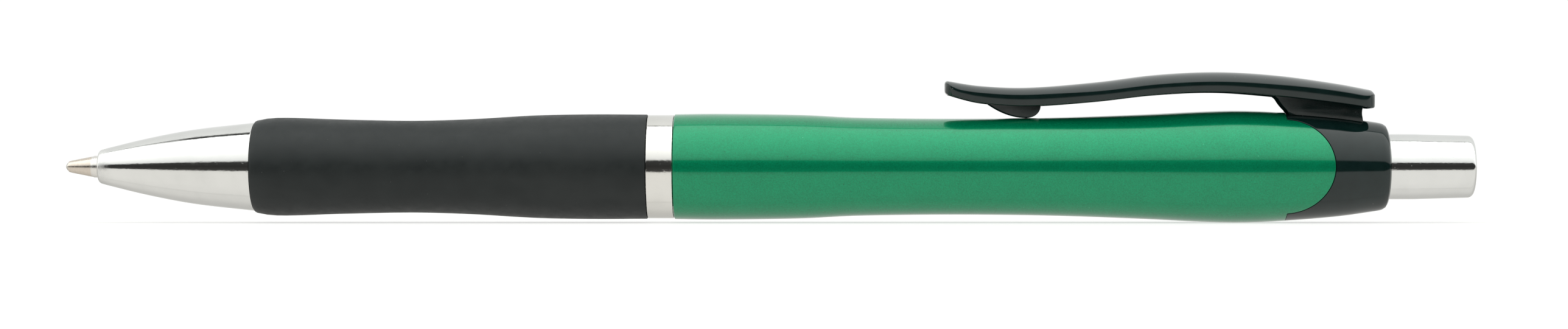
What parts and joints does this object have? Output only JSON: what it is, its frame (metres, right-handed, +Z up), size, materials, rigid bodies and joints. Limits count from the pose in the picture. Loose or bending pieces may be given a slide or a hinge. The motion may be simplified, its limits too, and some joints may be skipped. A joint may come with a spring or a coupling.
{
  "type": "retractable ballpoint pen",
  "caption": "Retractable ballpoint pen with chrome nose, rubber grip, green metallic barrel, black clip and collar, push button, cam mechanism, spring and refill.",
  "frame": {"origin": "under the middle of the pen's length, on the plane that the barrel lies on", "axes": "+X along the pen from point to button, +Z up towards the clip, +Y away from the viewer of the picture"},
  "size_m": [0.1426, 0.0114, 0.0153],
  "materials": {
    "green_barrel": "metallic green lacquer, clear coated",
    "black_gloss": "gloss",
    "black_gloss_clip": "gloss",
    "chrome_trim": "bright plated, lightly scratched",
    "chrome_button": "bright plated, lightly scratched",
    "grey_plastic": "moulded",
    "black_rubber": "matt",
    "natural_plastic": "moulded",
    "white_plastic": "moulded",
    "yellow_plastic": "moulded",
    "clear_tube": "translucent",
    "blue_ink": "wet",
    "grease": "clear grease",
    "nickel_silver": "turned",
    "hard_metal": "polished",
    "spring_steel": "drawn wire"
  },
  "bodies": {
    "housing": {"barrel": "green_barrel", "clip_collar": "black_gloss", "centre_ring": "chrome_trim", "grip_core": "grey_plastic", "grip_sleeve": "black_rubber", "nose_cone": "chrome_trim", "cam_sleeve": "natural_plastic", "return_spring": "spring_steel"},
    "clip": {"clip": "black_gloss_clip"},
    "button": {"button_cap": "chrome_button", "plunger": "white_plastic"},
    "refill": {"refill_tube": "clear_tube", "ink_column": "blue_ink", "ink_follower": "grease", "nib_holder": "natural_plastic", "nib": "nickel_silver"},
    "rotor": {"rotor": "yellow_plastic"},
    "ball": {"writing_ball": "hard_metal"}
  },
  "joints": [
    {"name": "button_slide", "type": "slide", "parent": "housing", "child": "button", "axis": [-1, 0, 0], "range_m": [-0.0048, 0.0013], "stiffness_N_per_m": 250},
    {"name": "refill_slide", "type": "slide", "parent": "housing", "child": "refill", "axis": [-1, 0, 0], "range_m": [-0.0048, 0.0013], "deforming": ["return_spring"]},
    {"name": "rotor_spin", "type": "hinge", "parent": "refill", "child": "rotor", "pos_m": [0.0387, 0, 0.00568], "axis": [1, 0, 0], "continuous": true},
    {"name": "ball_roll", "type": "hinge", "parent": "refill", "child": "ball", "pos_m": [-0.0708, 0, 0.00568], "axis": [0, 1, 0], "continuous": true},
    {"name": "clip_flex", "type": "hinge", "parent": "housing", "child": "clip", "pos_m": [0.0602, 0, 0.01046], "axis": [0, 1, 0], "range_deg": [0, 4], "stiffness_Nm_per_rad": 1.3}
  ],
  "couplings": [
    {"joint": "refill_slide", "follows": "button_slide", "ratio": 1}
  ]
}
